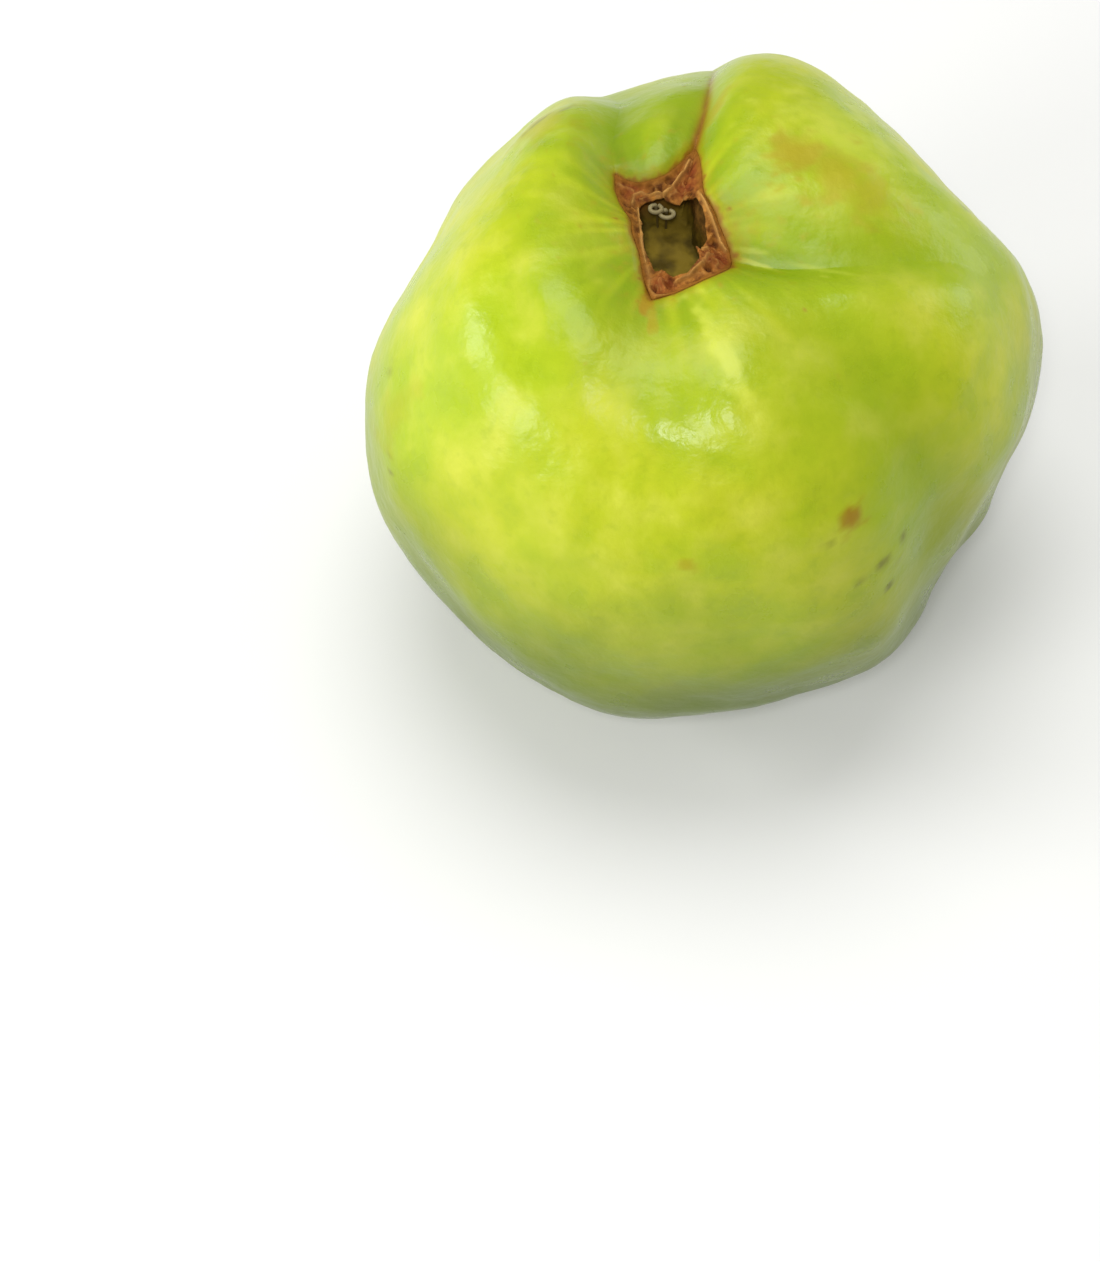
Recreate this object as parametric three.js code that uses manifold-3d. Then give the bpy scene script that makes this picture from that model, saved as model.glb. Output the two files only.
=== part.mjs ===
// A guava, picked while still green: one lobed fruit that stands on its stalk end, its dried calyx on top.
// Millimetres, +Z up. The origin is on the surface that the fruit stands on, under its middle. +X is the
// right of the fruit and +Y its back. In what follows heights are from the widest ring, azimuths run
// anticlockwise from +X, and polar angles run from the calyx down to the stalk. Angles are in degrees in
// the tables and in radians in the functions.
import * as THREE from "three";
import { mergeVertices } from "three/addons/utils/BufferGeometryUtils.js";
import Module from "manifold-3d";

const wasm = await Module();
wasm.setup();

// The body without its lobes: how far it reaches at the widest ring, at the calyx and at the stalk
const WIDEST_REACH = 39.2;
const CALYX_REACH = 31.0;
const STALK_REACH = 37.5;
const CALYX_FLATNESS = 10;
const STALK_FLATNESS = 3;
// The surface that the fruit stands on is this far below the widest ring, and flattens the foot a little.
const REST_DEPTH = 34.2;
const MIDDLE = { x: 0.13, y: -0.04 };

// The top of the fruit leans to the left and back, and the calyx with it.
const LEAN = { x: -4.6, y: 1.2, whole: 12, none: 55 };

// Where the flesh swells out, or is flat where the height is negative
const SWELLS = [
  { azimuth: 72, polar: 52, height: 1.4, across: 15, along: 26 },
  { azimuth: 38, polar: 68, height: -2.2, across: 20, along: 30 },
  { azimuth: 99, polar: 55, height: -2.0, across: 11, along: 40 },
  { azimuth: 129, polar: 62, height: -0.8, across: 13, along: 26 },
  { azimuth: 156, polar: 76, height: -3.0, across: 22, along: 45 },
  { azimuth: 196, polar: 94, height: 2.4, across: 26, along: 42 },
  { azimuth: 248, polar: 120, height: 2.2, across: 22, along: 24 },
  { azimuth: 284, polar: 115, height: -1.0, across: 16, along: 24 },
  { azimuth: 306, polar: 118, height: 1.2, across: 14, along: 24 },
  { azimuth: 331, polar: 104, height: -3.3, across: 20, along: 30 },
  { azimuth: 338, polar: 104, height: 1.2, across: 6, along: 9 },
  { azimuth: 8, polar: 82, height: 1.9, across: 15, along: 30 },
  { azimuth: 200, polar: 46, height: 1.2, across: 26, along: 12 },
  { azimuth: 282, polar: 38, height: 0.9, across: 9, along: 14 },
  { azimuth: 205, polar: 28, height: 0.7, across: 18, along: 11 },
];

// Folds between the lobes. Each starts at a corner of the calyx, turns from its near azimuth to its far one,
// and is gone at its last polar angle. A crease comes to a line, and the rest is a soft valley.
const FOLDS = [
  { near: 79, far: 88, corner: 14.1, depth: 4.5, left: 6.0, right: 2.6, crease: 0.8, gone: 85 },
  { near: 129, far: 112, corner: 12.7, depth: 4.0, left: 4.0, right: 6.0, crease: 0.3, gone: 100 },
  { near: 255, far: 252, corner: 10.0, depth: 2.6, left: 9.0, right: 8.0, crease: 0.1, gone: 52 },
  { near: 333, far: 360, corner: 8.0, depth: 3.9, left: 7.5, right: 3.6, crease: 0.3, gone: 74 },
];
const FOLD_TURN = { start: 12, end: 50 };
// The edge round the calyx between each fold and the next: how near it comes to the calyx's middle half way,
// and how narrow it leaves the corners at its start and its end
const EDGE_SIDES = [
  { half: 9.4, narrow: [2.5, 2.8] },
  { half: 4.5, narrow: [4.0, 3.4] },
  { half: 8.1, narrow: [1.4, 1.3] },
  { half: 5.3, narrow: [2.5, 3.1] },
];
const MEAN_EDGE = 8.0;

// Shallow valleys: one down the right side, and those that meet at the stalk
const VALLEYS = [
  { azimuth: 314, from: 20, to: 108, depth: 2.2, width: 7.0 },
  { azimuth: 30, from: 110, to: 175, depth: 1.6, width: 6.0 },
  { azimuth: 100, from: 105, to: 175, depth: 1.4, width: 6.0 },
  { azimuth: 165, from: 115, to: 175, depth: 1.4, width: 6.0 },
  { azimuth: 225, from: 125, to: 175, depth: 1.2, width: 6.0 },
  { azimuth: 285, from: 130, to: 175, depth: 1.2, width: 6.0 },
];

// Low waves that make the skin look beaten, each along its own direction
const RIPPLES = [
  { along: [0.82, 0.31, 0.48], wave: 15, height: 0.16, phase: 0.4 },
  { along: [-0.35, 0.87, 0.35], wave: 19, height: 0.18, phase: 2.1 },
  { along: [0.22, -0.54, 0.81], wave: 13, height: 0.14, phase: 4.0 },
  { along: [0.67, 0.66, -0.34], wave: 24, height: 0.22, phase: 5.2 },
];

// The pit at the stalk end, and the socket in its middle where the stalk sits
const PIT = { depth: 6.0, spread: 12.5 };
const SOCKET = { radius: 2.8, depth: 2.6 };
// The stalk's stub: thickest in its socket, with a waist at the skin, and cut off clear of the surface
const STALK = { root: 2.3, waist: 1.9, cut: 2.1, edge: 0.4, clear: 0.6, sides: 18 };

// The hollow under the calyx. Its wall runs in to the floor and its corners are long channels.
const HOLLOW = { depth: 7.0, floor: 6.4, step: 0.8 };
const GAP = 0.3;
// The calyx is a thin dry cup that lines the hollow. Its edge rises from just under the skin to its lip.
const CUP = { wall: 0.8, edge: -0.15, lip: 0.25 };
// How much further into its sharp corners than along its sides a lining of even thickness reaches
const CORNER_STRETCH = 1.4;

// The four dried sepals, one in each corner. Each runs between two columns of points, and its folded edge is
// given at one side, half way and at the other side: its distance from the calyx's middle, and its height
// above the sepal's root. Between root and edge the sepal dips, and its inner part is crumpled.
const SEPALS = [
  { from: 16.6, to: 25.5, reach: [5.6, 4.9, 6.1], edge: [0.2, -0.2, 0.8], dip: -0.2, crumple: 0.35 },
  { from: 24.4, to: 36, reach: [6.2, 5.2, 4.1], edge: [0.3, -0.1, 0.2], dip: -0.2, crumple: 0.4 },
  { from: 55, to: 74, reach: [4.3, 6.3, 6.8], edge: [0.3, 0.2, 0.5], dip: 0.2, crumple: 0.35 },
  { from: 76, to: 95, reach: [5.9, 3.9, 4.7], edge: [0.5, 0.6, 0.3], dip: 0.5, crumple: 0.35 },
];
const SEPAL = { thick: 0.8, root: -0.2, across: 12, along: 5, folds: 5.5, skew: 2.3 };

// Two dried stamens stand at the back of the cup's floor, and each ends in a curled ring. Their places are
// across and back from the calyx's middle, and the rings' heights are from the widest ring of the fruit.
const STAMENS = [
  { foot: [-0.4, 4.55], ring: [-0.4, 4.15, 27.1] },
  { foot: [-1.3, 4.45], ring: [-1.62, 4.7, 27.3] },
];
const STAMEN = { ringReach: 0.72, ringTilt: -16, thick: 0.31, sides: 6, steps: 4 };

const COLUMNS = 90;
const SKIN_ROWS = 36;
// Rows of points bend to the edge round the calyx only close to it.
const EDGE_PULL = 8;
const WALL_ROWS = 4;

const SKIN = new THREE.MeshStandardMaterial({ color: 0xb7c926, roughness: 0.42, metalness: 0 });
const DRY_CALYX = new THREE.MeshStandardMaterial({ color: 0x8a5c24, roughness: 0.85, metalness: 0 });
const DRY_STAMEN = new THREE.MeshStandardMaterial({ color: 0xc9bd8a, roughness: 0.8, metalness: 0 });
const STALK_WOOD = new THREE.MeshStandardMaterial({ color: 0x6f5a36, roughness: 0.85, metalness: 0 });

const { degToRad, euclideanModulo, lerp, smoothstep } = THREE.MathUtils;
const TURN = 2 * Math.PI;
const bell = (x) => Math.exp(-x * x);

// A column of points runs down the skin at one azimuth near the calyx and at another away from it, so that
// columns keep to the folds as these turn.
function columnWay(column) {
  const far = (360 * column) / COLUMNS;
  const index = FOLDS.findLastIndex((fold) => fold.far <= euclideanModulo(far, 360));
  const fold = FOLDS.at(index);
  const next = FOLDS[(index + 1) % FOLDS.length];
  const farSpan = euclideanModulo(next.far - fold.far, 360);
  const nearSpan = euclideanModulo(next.near - fold.near, 360);
  const way = euclideanModulo(far - fold.far, 360) / farSpan;
  const side = EDGE_SIDES.at(index);
  const corner = Math.abs(2 * way - 1) ** side.narrow[way < 0.5 ? 0 : 1];
  return {
    near: degToRad(fold.near + nearSpan * way),
    far: degToRad(fold.far + farSpan * way),
    edge: lerp(side.half, lerp(fold.corner, next.corner, way), corner),
    corner,
  };
}

// How far the folds have turned at a polar angle
function settled(polar) {
  return smoothstep(polar, degToRad(FOLD_TURN.start), degToRad(FOLD_TURN.end));
}

function columnAzimuth(way, polar) {
  return lerp(way.near, way.far, settled(polar));
}

// An angle in the half turn on either side of zero
function nearest(angle) {
  return angle - TURN * Math.round(angle / TURN);
}

// How deep a trough is at an angle to the side of its line, out of a whole depth of 1
function trough(aside, polar, leftWidth, rightWidth, crease) {
  const distance = aside * Math.sin(polar) * WIDEST_REACH;
  const part = distance / (distance > 0 ? leftWidth : rightWidth);
  const thisSide = Math.max(Math.cos(aside), 0) ** 2;
  return lerp(bell(part), Math.exp(-Math.abs(part)), crease) * thisSide;
}

function foldDepth(fold, azimuth, polar) {
  const line = lerp(degToRad(fold.near), degToRad(fold.far), settled(polar));
  const left = 1 - smoothstep(polar / degToRad(fold.gone), 0.15, 1);
  return fold.depth * left * trough(nearest(azimuth - line), polar, fold.left, fold.right, fold.crease);
}

function valleyDepth(valley, azimuth, polar) {
  const way = (polar - degToRad(valley.from)) / degToRad(valley.to - valley.from);
  const rise = Math.max(4 * way * (1 - way), 0);
  const aside = nearest(azimuth - degToRad(valley.azimuth));
  return valley.depth * rise * trough(aside, polar, valley.width, valley.width, 0);
}

function swellHeight(swell, azimuth, polar) {
  const across = nearest(azimuth - degToRad(swell.azimuth)) * Math.sin(polar);
  const along = polar - degToRad(swell.polar);
  return swell.height * bell(across / degToRad(swell.across)) * bell(along / degToRad(swell.along));
}

// Ripples die away towards the calyx and the stalk.
function rippleHeight(ripple, facing) {
  const place = WIDEST_REACH * facing.dot(new THREE.Vector3(...ripple.along));
  const strength = 1 - facing.z * facing.z;
  return ripple.height * strength * Math.sin((TURN * place) / ripple.wave + ripple.phase);
}

// A place on the outer skin
function skinPoint(azimuth, polar) {
  const facing = new THREE.Vector3(
    Math.sin(polar) * Math.cos(azimuth),
    Math.sin(polar) * Math.sin(azimuth),
    Math.cos(polar),
  );
  const up = Math.max(facing.z, 0) ** CALYX_FLATNESS;
  const down = Math.max(-facing.z, 0) ** STALK_FLATNESS;
  let reach = WIDEST_REACH + (CALYX_REACH - WIDEST_REACH) * up + (STALK_REACH - WIDEST_REACH) * down;
  for (const swell of SWELLS) reach += swellHeight(swell, azimuth, polar);
  for (const fold of FOLDS) reach -= foldDepth(fold, azimuth, polar);
  for (const valley of VALLEYS) reach -= valleyDepth(valley, azimuth, polar);
  for (const ripple of RIPPLES) reach += rippleHeight(ripple, facing);
  reach -= PIT.depth * bell((Math.PI - polar) / degToRad(PIT.spread));
  const leaning = 1 - smoothstep(polar, degToRad(LEAN.whole), degToRad(LEAN.none));
  const point = facing.multiplyScalar(reach);
  point.x += LEAN.x * leaning;
  point.y += LEAN.y * leaning;
  point.z = Math.max(point.z, -REST_DEPTH);
  return point;
}

// The polar angle at which a column reaches the edge round the calyx, and the place of that edge
function edgePolar(way) {
  return Math.atan2(way.edge, CALYX_REACH);
}

function edgePoint(way) {
  return skinPoint(columnAzimuth(way, edgePolar(way)), edgePolar(way));
}

const WAYS = Array.from({ length: COLUMNS }, (_, column) => columnWay(column));
const EDGE_HEIGHT = WAYS.reduce((sum, way) => sum + edgePoint(way).z, 0) / COLUMNS;
const HOLLOW_FLOOR = EDGE_HEIGHT - HOLLOW.depth;
const SOCKET_MOUTH = Math.PI - Math.atan2(SOCKET.radius, STALK_REACH - PIT.depth);
const SOCKET_TOP = skinPoint(0, SOCKET_MOUTH).z + SOCKET.depth;

// A place given across and back from the calyx's middle
function calyxPlace(x, y, height) {
  return new THREE.Vector3(LEAN.x + x, LEAN.y + y, height);
}

// A place on the wall of the hollow, from its edge at down 0 to its floor at down 1, or inset from it
function wallPoint(way, down, inset) {
  const edge = edgePoint(way);
  const x = edge.x - LEAN.x;
  const y = edge.y - LEAN.y;
  const reach = Math.hypot(x, y);
  const foot = Math.min(reach - HOLLOW.step, HOLLOW.floor) - inset;
  const top = reach - inset * (1 + CORNER_STRETCH * way.corner);
  const across = lerp(top, foot, down) / reach;
  const drop = 1 - (1 - down) ** 1.5;
  return calyxPlace(x * across, y * across, lerp(edge.z, HOLLOW_FLOOR + inset, drop));
}

// A ring of points, one in each column
function ring(place) {
  return WAYS.map(place);
}

// One closed solid from rings of points, from a single first point to a single last one
function solidOfRings(first, rings, last) {
  const points = [first, ...rings.flat(), last];
  const at = (row, column) => 1 + row * COLUMNS + (column % COLUMNS);
  const index = [];
  for (let column = 0; column < COLUMNS; column++) {
    index.push(0, at(0, column + 1), at(0, column));
    for (let row = 0; row + 1 < rings.length; row++) {
      index.push(at(row, column), at(row, column + 1), at(row + 1, column + 1));
      index.push(at(row, column), at(row + 1, column + 1), at(row + 1, column));
    }
    index.push(points.length - 1, at(rings.length - 1, column), at(rings.length - 1, column + 1));
  }
  const geometry = new THREE.BufferGeometry().setFromPoints(points);
  geometry.setIndex(index);
  return geometry;
}

// A blade of even thickness over a grid of points on its upper face
function bladeOfGrid(grid, thick) {
  const rows = grid.length;
  const columns = grid[0].length;
  const upper = grid.flat();
  const lower = upper.map((point) => point.clone().setZ(point.z - thick));
  const top = (row, column) => row * columns + column;
  const index = [];
  const quad = (a, b, c, d) => index.push(a, b, c, a, c, d);
  const under = upper.length;
  for (let row = 0; row + 1 < rows; row++) {
    for (let column = 0; column + 1 < columns; column++) {
      const near = [top(row, column), top(row, column + 1)];
      const corners = [...near, top(row + 1, column + 1), top(row + 1, column)];
      quad(...corners);
      quad(...corners.map((corner) => corner + under).reverse());
    }
    quad(top(row, 0), top(row + 1, 0), top(row + 1, 0) + under, top(row, 0) + under);
    const end = columns - 1;
    quad(top(row + 1, end), top(row, end), top(row, end) + under, top(row + 1, end) + under);
  }
  for (let column = 0; column + 1 < columns; column++) {
    quad(top(0, column + 1), top(0, column), top(0, column) + under, top(0, column + 1) + under);
    const end = rows - 1;
    quad(top(end, column), top(end, column + 1), top(end, column + 1) + under, top(end, column) + under);
  }
  const geometry = new THREE.BufferGeometry().setFromPoints([...upper, ...lower]);
  geometry.setIndex(index);
  return geometry;
}

// Closed geometries joined into one
function join(geometries) {
  const solids = geometries.map((geometry) => {
    geometry.deleteAttribute("normal");
    geometry.deleteAttribute("uv");
    const merged = mergeVertices(geometry);
    const vertProperties = merged.attributes.position.array;
    const triVerts = Uint32Array.from(merged.index.array);
    return new wasm.Manifold(new wasm.Mesh({ numProp: 3, vertProperties, triVerts }));
  });
  const joined = solids.reduce((whole, solid) => whole.add(solid)).getMesh();
  const geometry = new THREE.BufferGeometry();
  geometry.setAttribute("position", new THREE.BufferAttribute(joined.vertProperties, 3));
  geometry.setIndex(new THREE.BufferAttribute(joined.triVerts, 1));
  return geometry;
}

// Flesh and skin are one solid: up the socket's wall, over the pit, the foot and the shoulders, and down
// into the hollow.
function fruitGeometry() {
  const mean = Math.atan2(MEAN_EDGE, CALYX_REACH);
  const rings = [ring((way) => skinPoint(way.far, SOCKET_MOUTH).setZ(SOCKET_TOP))];
  for (let row = 0; row <= SKIN_ROWS; row++) {
    const part = row / SKIN_ROWS;
    rings.push(
      ring((way) => {
        const polar = lerp(SOCKET_MOUTH, mean, part) + (edgePolar(way) - mean) * part ** EDGE_PULL;
        return skinPoint(columnAzimuth(way, polar), polar);
      }),
    );
  }
  for (let row = 1; row <= WALL_ROWS; row++) {
    rings.push(ring((way) => wallPoint(way, row / WALL_ROWS, 0)));
  }
  const first = new THREE.Vector3(0, 0, SOCKET_TOP);
  const last = calyxPlace(0, 0, HOLLOW_FLOOR);
  return solidOfRings(first, rings, last);
}

// The calyx's cup: its outer face from the floor up, its edge, and its inner face down again
function cupGeometry() {
  const outer = GAP;
  const inner = GAP + CUP.wall;
  const rings = [];
  for (let row = WALL_ROWS; row > 0; row--) {
    rings.push(ring((way) => wallPoint(way, row / WALL_ROWS, outer)));
  }
  const lip = (inset, rise) =>
    ring((way) => {
      const point = wallPoint(way, 0, inset);
      return point.setZ(point.z + rise);
    });
  rings.push(lip(outer, CUP.edge), lip(inner, CUP.lip));
  for (let row = 1; row <= WALL_ROWS; row++) {
    rings.push(ring((way) => wallPoint(way, row / WALL_ROWS, inner)));
  }
  const first = calyxPlace(0, 0, HOLLOW_FLOOR + outer);
  const last = calyxPlace(0, 0, HOLLOW_FLOOR + inner);
  return solidOfRings(first, rings, last);
}

// The curve through three values at the start, half way and at the end
function through([start, half, end], way) {
  return start * (1 - way) * (1 - 2 * way) + half * 4 * way * (1 - way) + end * way * (2 * way - 1);
}

// A place on a sepal, aside from one side to the other and inwards from its root in the cup's wall
function sepalPoint(sepal, aside, inwards) {
  const root = wallPoint(columnWay(lerp(sepal.from, sepal.to, aside)), 0, GAP + CUP.wall / 2);
  const fromMiddle = Math.hypot(root.x - LEAN.x, root.y - LEAN.y);
  const edge = Math.min(through(sepal.reach, aside), fromMiddle - GAP);
  const across = lerp(fromMiddle, edge, inwards) / fromMiddle;
  const waves = Math.sin(Math.PI * SEPAL.folds * aside + SEPAL.skew * inwards);
  const rise = through(sepal.edge, aside) * inwards - sepal.dip * Math.sin(Math.PI * inwards);
  const crumple = sepal.crumple * waves * inwards * Math.sin(Math.PI * aside);
  const height = root.z + SEPAL.root + rise + crumple;
  return calyxPlace((root.x - LEAN.x) * across, (root.y - LEAN.y) * across, height);
}

function sepalGeometry(sepal) {
  const steps = (count) => Array.from({ length: count + 1 }, (_, step) => step / count);
  const row = (inwards) => steps(SEPAL.across).map((aside) => sepalPoint(sepal, aside, inwards));
  return bladeOfGrid(steps(SEPAL.along).map(row), SEPAL.thick);
}

function calyxGeometry() {
  return join([cupGeometry(), ...SEPALS.map(sepalGeometry)]);
}

// A stamen's stem runs from just over the cup's floor into the back of its ring.
function stamenGeometries({ foot, ring: place }) {
  const middle = calyxPlace(...place);
  const tilt = degToRad(STAMEN.ringTilt);
  const curl = new THREE.TorusGeometry(STAMEN.ringReach, STAMEN.thick, STAMEN.sides, 2 * STAMEN.sides);
  curl.rotateX(tilt).translate(middle.x, middle.y, middle.z);
  const back = new THREE.Vector3(0, STAMEN.ringReach, 0).applyAxisAngle(new THREE.Vector3(1, 0, 0), tilt);
  const start = calyxPlace(...foot, HOLLOW_FLOOR + GAP + CUP.wall + GAP);
  const bend = calyxPlace(foot[0], foot[1] + STAMEN.ringReach / 2, (start.z + middle.z) / 2);
  const path = new THREE.CatmullRomCurve3([start, bend, back.add(middle)]);
  const section = new THREE.Shape().absarc(0, 0, STAMEN.thick, 0, TURN);
  const settings = { steps: STAMEN.steps, curveSegments: STAMEN.sides, extrudePath: path };
  return [new THREE.ExtrudeGeometry(section, settings), curl];
}

// The stub of the stalk, turned from the cut face up to its root
function stalkGeometry() {
  const cutFace = -REST_DEPTH + STALK.clear;
  const skin = PIT.depth - STALK_REACH;
  const root = SOCKET_TOP - GAP;
  const profile = [
    [0, cutFace],
    [STALK.cut - STALK.edge, cutFace],
    [STALK.cut, cutFace + STALK.edge],
    [STALK.waist, skin],
    [STALK.root, root - STALK.edge],
    [STALK.root - STALK.edge, root],
    [0, root],
  ];
  const points = profile.map(([reach, height]) => new THREE.Vector2(reach, height));
  return new THREE.LatheGeometry(points, STALK.sides).rotateX(Math.PI / 2);
}

const guava = new THREE.Group();
guava.position.set(-MIDDLE.x, -MIDDLE.y, REST_DEPTH);

function add(name, geometry, material) {
  const mesh = new THREE.Mesh(geometry, material);
  mesh.name = name;
  guava.add(mesh);
}

add("fruit", fruitGeometry(), SKIN);
add("calyx", calyxGeometry(), DRY_CALYX);
add("stamens", join(STAMENS.flatMap(stamenGeometries)), DRY_STAMEN);
add("stalk", stalkGeometry(), STALK_WOOD);

export default guava;
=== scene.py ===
import math

import bpy
import numpy as np
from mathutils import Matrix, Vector, noise


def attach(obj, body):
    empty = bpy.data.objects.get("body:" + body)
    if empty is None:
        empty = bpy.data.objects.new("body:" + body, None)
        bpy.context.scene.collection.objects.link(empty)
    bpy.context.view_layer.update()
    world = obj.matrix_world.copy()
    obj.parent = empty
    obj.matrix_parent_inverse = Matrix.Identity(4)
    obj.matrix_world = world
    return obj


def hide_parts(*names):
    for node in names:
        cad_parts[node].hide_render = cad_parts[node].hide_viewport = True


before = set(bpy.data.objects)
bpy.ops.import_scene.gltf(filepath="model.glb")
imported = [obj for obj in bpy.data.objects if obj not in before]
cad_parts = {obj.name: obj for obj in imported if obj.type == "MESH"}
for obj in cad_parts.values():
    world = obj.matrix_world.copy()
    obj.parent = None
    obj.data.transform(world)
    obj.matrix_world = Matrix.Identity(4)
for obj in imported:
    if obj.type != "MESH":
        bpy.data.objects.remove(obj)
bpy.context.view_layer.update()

# The fruit's shape: flesh and skin grew as one piece, from a round body that is flatter at the calyx. Broad
# lobes swell out of it and four folds run down it from the calyx's corners. Lengths are in millimetres from
# the middle of the widest ring, azimuths run anticlockwise from +X and polar angles from the calyx down.
MM = 0.001
TURN = 2 * math.pi
WIDEST_REACH = 39.2
CALYX_REACH = 31.0
STALK_REACH = 37.5
CALYX_FLATNESS = 10
STALK_FLATNESS = 3
REST_DEPTH = 34.2
MIDDLE = (-0.13, 0.04, REST_DEPTH)
LEAN = {"x": -4.6, "y": 1.2, "whole": 12, "none": 55}
SWELLS = [
    {"azimuth": 72, "polar": 52, "height": 1.4, "across": 15, "along": 26},
    {"azimuth": 38, "polar": 68, "height": -2.2, "across": 20, "along": 30},
    {"azimuth": 99, "polar": 55, "height": -2.0, "across": 11, "along": 40},
    {"azimuth": 129, "polar": 62, "height": -0.8, "across": 13, "along": 26},
    {"azimuth": 156, "polar": 76, "height": -3.0, "across": 22, "along": 45},
    {"azimuth": 196, "polar": 94, "height": 2.4, "across": 26, "along": 42},
    {"azimuth": 248, "polar": 120, "height": 2.2, "across": 22, "along": 24},
    {"azimuth": 284, "polar": 115, "height": -1.0, "across": 16, "along": 24},
    {"azimuth": 306, "polar": 118, "height": 1.2, "across": 14, "along": 24},
    {"azimuth": 331, "polar": 104, "height": -3.3, "across": 20, "along": 30},
    {"azimuth": 338, "polar": 104, "height": 1.2, "across": 6, "along": 9},
    {"azimuth": 8, "polar": 82, "height": 1.9, "across": 15, "along": 30},
    {"azimuth": 200, "polar": 46, "height": 1.2, "across": 26, "along": 12},
    {"azimuth": 282, "polar": 38, "height": 0.9, "across": 9, "along": 14},
    {"azimuth": 205, "polar": 28, "height": 0.7, "across": 18, "along": 11},
]
# A fold starts at its near azimuth, in a corner of the calyx so far from the middle, and turns to its far
# azimuth. Left and right are its widths as seen from the calyx, crease is how sharp it is, from 0 to 1, and
# gone is the polar angle where it ends.
FOLDS = [
    {"near": 79, "far": 88, "corner": 14.1, "gone": 85,
     "depth": 4.5, "left": 6.0, "right": 2.6, "crease": 0.8},
    {"near": 129, "far": 112, "corner": 12.7, "gone": 100,
     "depth": 4.0, "left": 4.0, "right": 6.0, "crease": 0.3},
    {"near": 255, "far": 252, "corner": 10.0, "gone": 52,
     "depth": 2.6, "left": 9.0, "right": 8.0, "crease": 0.1},
    {"near": 333, "far": 360, "corner": 8.0, "gone": 74,
     "depth": 3.9, "left": 7.5, "right": 3.6, "crease": 0.3},
]
FOLD_TURN = (12, 50)
FOLD_FADE = (0.15, 1)
VALLEYS = [
    {"azimuth": 314, "from": 20, "to": 108, "depth": 2.2, "width": 7.0},
    {"azimuth": 30, "from": 110, "to": 175, "depth": 1.6, "width": 6.0},
    {"azimuth": 100, "from": 105, "to": 175, "depth": 1.4, "width": 6.0},
    {"azimuth": 165, "from": 115, "to": 175, "depth": 1.4, "width": 6.0},
    {"azimuth": 225, "from": 125, "to": 175, "depth": 1.2, "width": 6.0},
    {"azimuth": 285, "from": 130, "to": 175, "depth": 1.2, "width": 6.0},
]
RIPPLES = [
    {"along": (0.82, 0.31, 0.48), "wave": 15, "height": 0.16, "phase": 0.4},
    {"along": (-0.35, 0.87, 0.35), "wave": 19, "height": 0.18, "phase": 2.1},
    {"along": (0.22, -0.54, 0.81), "wave": 13, "height": 0.14, "phase": 4.0},
    {"along": (0.67, 0.66, -0.34), "wave": 24, "height": 0.22, "phase": 5.2},
]
PIT = {"depth": 6.0, "spread": 12.5}


def bell(x):
    return np.exp(-x * x)


def mixed(first, second, way):
    return first + (second - first) * way


def smooth(value, start, end):
    way = np.clip((value - start) / (end - start), 0, 1)
    return way * way * (3 - 2 * way)


def nearest(angle):
    """An angle in the half turn on either side of zero"""
    return angle - TURN * np.round(angle / TURN)


def trough(aside, polar, left, right, crease):
    """How deep a trough is at an angle to the side of its line, out of a whole depth of 1"""
    distance = aside * np.sin(polar) * WIDEST_REACH
    part = distance / np.where(distance > 0, left, right)
    this_side = np.maximum(np.cos(aside), 0) ** 2
    return mixed(bell(part), np.exp(-np.abs(part)), crease) * this_side


def settled(polar):
    """How far the folds have turned, from their near azimuths to their far ones"""
    return smooth(polar, *np.radians(FOLD_TURN))


def fold_line(fold, polar):
    return mixed(math.radians(fold["near"]), math.radians(fold["far"]), settled(polar))


def fold_depth(fold, azimuth, polar):
    left = 1 - smooth(polar / math.radians(fold["gone"]), *FOLD_FADE)
    aside = nearest(azimuth - fold_line(fold, polar))
    return fold["depth"] * left * trough(aside, polar, fold["left"], fold["right"], fold["crease"])


def valley_depth(valley, azimuth, polar):
    way = (polar - math.radians(valley["from"])) / math.radians(valley["to"] - valley["from"])
    rise = np.maximum(4 * way * (1 - way), 0)
    aside = nearest(azimuth - math.radians(valley["azimuth"]))
    return valley["depth"] * rise * trough(aside, polar, valley["width"], valley["width"], 0)


def swell_height(swell, azimuth, polar):
    across = nearest(azimuth - math.radians(swell["azimuth"])) * np.sin(polar)
    along = polar - math.radians(swell["polar"])
    spread = bell(across / math.radians(swell["across"])) * bell(along / math.radians(swell["along"]))
    return swell["height"] * spread


def ripple_height(ripple, facing):
    place = WIDEST_REACH * facing @ np.array(ripple["along"])
    strength = 1 - facing[..., 2] ** 2
    return ripple["height"] * strength * np.sin(TURN * place / ripple["wave"] + ripple["phase"])


def facing_of(azimuth, polar):
    across = np.sin(polar)
    return np.stack([across * np.cos(azimuth), across * np.sin(azimuth), np.cos(polar)], axis=-1)


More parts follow.
